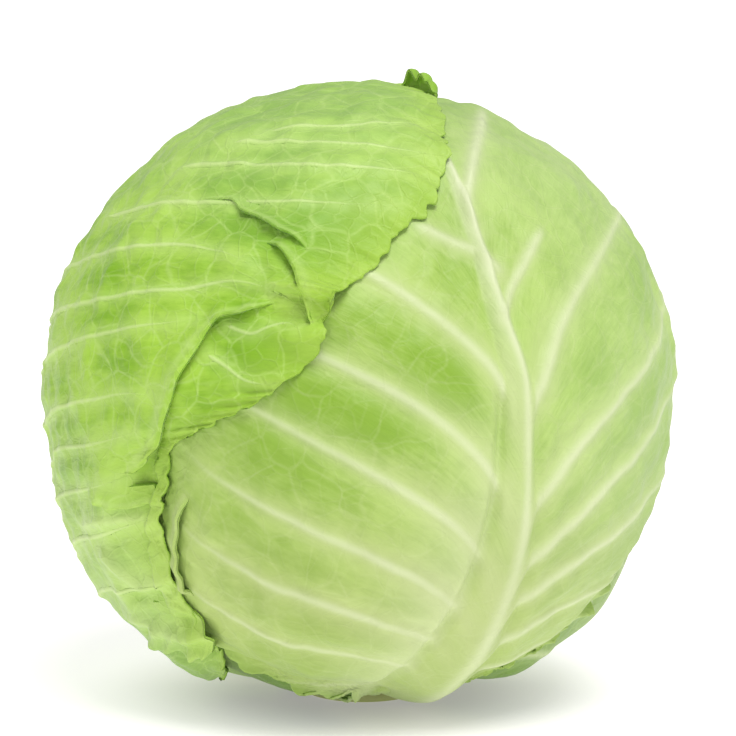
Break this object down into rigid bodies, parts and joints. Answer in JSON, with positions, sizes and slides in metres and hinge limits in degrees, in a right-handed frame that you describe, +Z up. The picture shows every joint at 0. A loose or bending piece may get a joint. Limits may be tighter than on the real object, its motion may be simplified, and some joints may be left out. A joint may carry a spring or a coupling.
{
  "type": "cabbage head",
  "caption": "Round head of green cabbage: waved wrapper leaves with raised pale ribs lie over a tight heart, standing on a flat-cut stem.",
  "frame": {"origin": "middle of the stem's cut face, on the table the head stands on", "axes": "+Z up along the head's axis from stem to top; -Y faces the viewer of the picture, where the front leaf and its midrib show; +X to that viewer's right"},
  "size_m": [0.1781, 0.1773, 0.1744],
  "materials": {
    "wrapper_leaf": "waxy fresh leaf, green blade with pale ribs",
    "inner_leaf": "waxy fresh leaf, deeper green at the margin",
    "heart_leaf": "waxy pale leaf",
    "stem": "moist cut stalk"
  },
  "bodies": {
    "root": {"front_leaf": "wrapper_leaf", "left_leaf": "wrapper_leaf", "back_leaf": "wrapper_leaf", "inner_left_leaf": "inner_leaf", "inner_right_leaf": "inner_leaf", "heart": "heart_leaf", "stem": "stem"}
  },
  "joints": []
}
